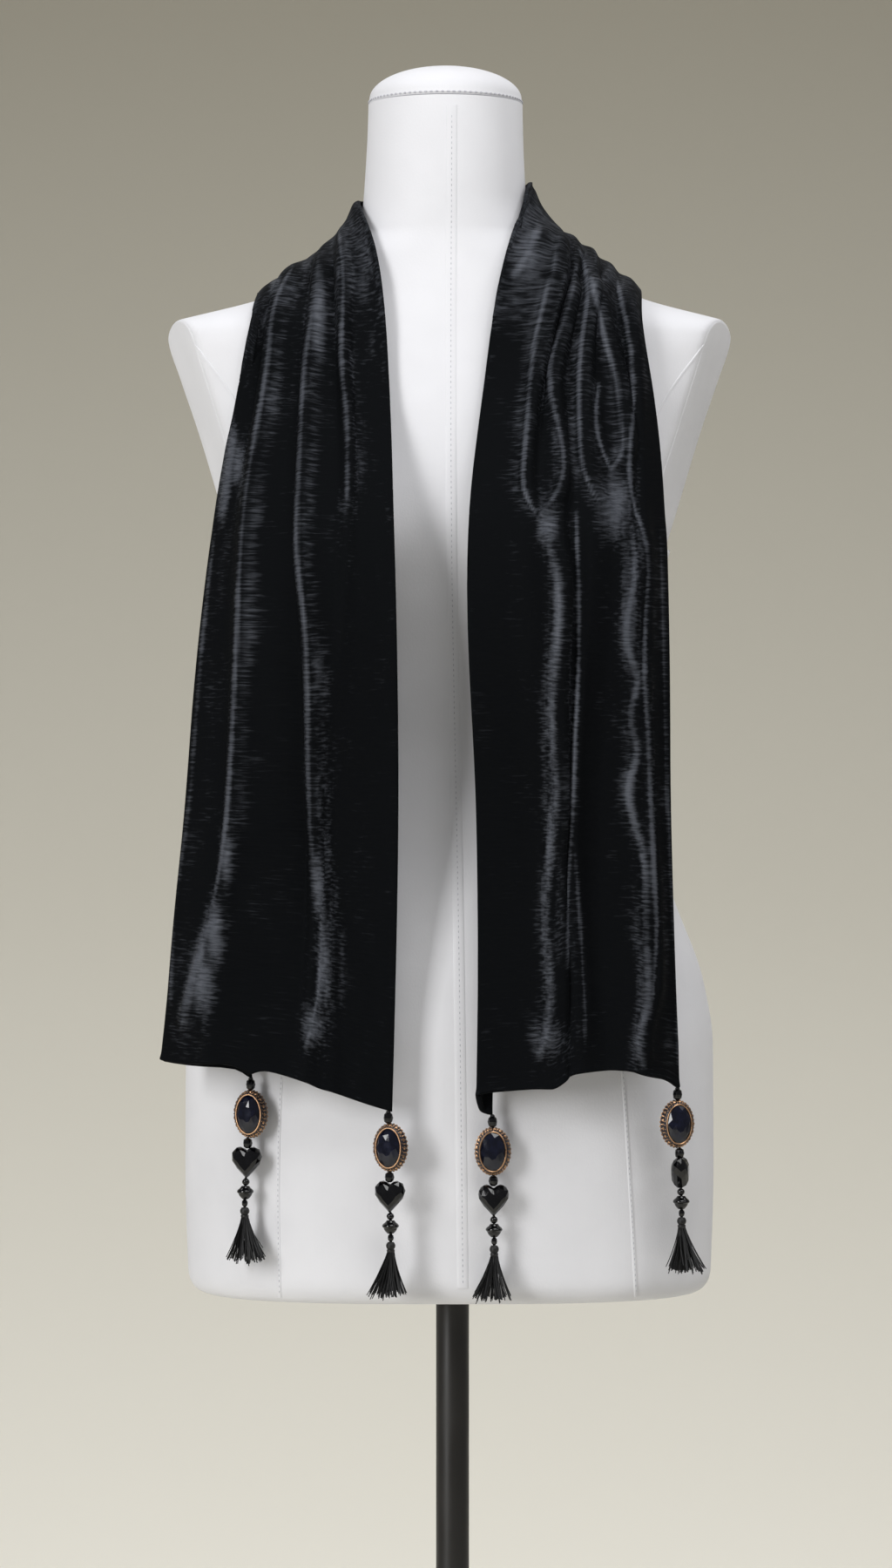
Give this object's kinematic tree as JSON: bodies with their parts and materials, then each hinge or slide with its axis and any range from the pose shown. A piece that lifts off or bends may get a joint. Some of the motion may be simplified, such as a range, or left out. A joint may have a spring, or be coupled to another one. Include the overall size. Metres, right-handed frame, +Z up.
{
  "type": "velvet scarf on a dress form",
  "caption": "Long gathered velvet scarf hung round a limbless dress form on a pole stand, with a bead, cameo, heart and tassel pendant at each corner.",
  "frame": {"origin": "middle of the stand's round foot, on the floor", "axes": "+Z up along the stand's pole; the form faces -Y, and +X is to the right as seen from the front"},
  "size_m": [0.38, 0.38, 1.4778],
  "materials": {
    "jersey": "matt white stretch jersey",
    "cap": "smooth white jersey over a domed cap",
    "stand": "satin black paint",
    "velvet": "black velvet with a silver-grey sheen",
    "jet": "polished faceted black glass",
    "gold": "antique gilt with dark recesses",
    "stone": "polished faceted navy glass",
    "thread": "black tassel thread with a soft sheen"
  },
  "bodies": {
    "root": {"torso": "jersey", "arm_cap_left": "jersey", "arm_cap_right": "jersey", "neck_cap": "cap", "stand_base": "stand", "stand_collar": "stand", "stand_pole": "stand", "scarf_front_left": "velvet", "scarf_neck": "velvet", "scarf_front_right": "velvet", "pendant_left_outer_top_bead": "jet", "pendant_left_outer_cameo_frame": "gold", "pendant_left_outer_cameo_stone": "stone", "pendant_left_outer_middle_bead": "jet", "pendant_left_outer_heart_bead": "jet", "pendant_left_outer_round_bead": "jet", "pendant_left_outer_saucer_bead": "jet", "pendant_left_outer_end_bead": "jet", "pendant_left_outer_tassel": "thread", "pendant_left_inner_top_bead": "jet", "pendant_left_inner_cameo_frame": "gold", "pendant_left_inner_cameo_stone": "stone", "pendant_left_inner_middle_bead": "jet", "pendant_left_inner_heart_bead": "jet", "pendant_left_inner_round_bead": "jet", "pendant_left_inner_saucer_bead": "jet", "pendant_left_inner_end_bead": "jet", "pendant_left_inner_tassel": "thread", "pendant_right_inner_top_bead": "jet", "pendant_right_inner_cameo_frame": "gold", "pendant_right_inner_cameo_stone": "stone", "pendant_right_inner_middle_bead": "jet", "pendant_right_inner_heart_bead": "jet", "pendant_right_inner_round_bead": "jet", "pendant_right_inner_saucer_bead": "jet", "pendant_right_inner_end_bead": "jet", "pendant_right_inner_tassel": "thread", "pendant_right_outer_top_bead": "jet", "pendant_right_outer_cameo_frame": "gold", "pendant_right_outer_cameo_stone": "stone", "pendant_right_outer_middle_bead": "jet", "pendant_right_outer_heart_bead": "jet", "pendant_right_outer_round_bead": "jet", "pendant_right_outer_saucer_bead": "jet", "pendant_right_outer_end_bead": "jet", "pendant_right_outer_tassel": "thread"}
  },
  "joints": []
}
